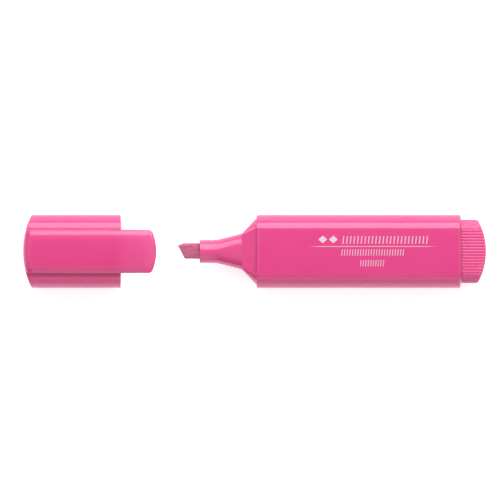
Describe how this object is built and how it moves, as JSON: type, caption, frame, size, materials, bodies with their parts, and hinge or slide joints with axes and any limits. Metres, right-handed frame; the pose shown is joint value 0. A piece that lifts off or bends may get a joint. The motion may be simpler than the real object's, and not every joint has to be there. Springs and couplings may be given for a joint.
{
  "type": "highlighter",
  "caption": "Flat highlighter pen with a slanted chisel nib, a ribbed end plug and a clip cap drawn off in line with the pen.",
  "frame": {"origin": "centre of the barrel's flat back face, which rests on the table", "axes": "+X along the pen from the nib towards the end plug, +Z out of the clip side, +Y across the pen"},
  "size_m": [0.1577, 0.025, 0.0181],
  "materials": {
    "pink_plastic": "gloss",
    "nib_felt": "matte",
    "reservoir_fibre": "matte",
    "clear_film": "satin",
    "liner_plastic": "satin"
  },
  "bodies": {
    "pen": {"barrel_shell": "pink_plastic", "front_section": "pink_plastic", "end_plug": "pink_plastic", "chisel_nib": "nib_felt", "reservoir_core": "reservoir_fibre", "reservoir_wrap": "clear_film", "breather_tube": "clear_film"},
    "cap": {"cap_shell": "pink_plastic", "inner_cap": "liner_plastic"},
    "clip": {"clip_tongue": "pink_plastic"}
  },
  "joints": [
    {"name": "cap_slide", "type": "slide", "parent": "pen", "child": "cap", "axis": [1, 0, 0], "range_m": [0, 0.0463]},
    {"name": "clip_flex", "type": "hinge", "parent": "cap", "child": "clip", "pos_m": [-0.0812, 0, 0.0173], "axis": [0, -1, 0], "range_deg": [0, 6], "stiffness_Nm_per_rad": 0.008}
  ]
}
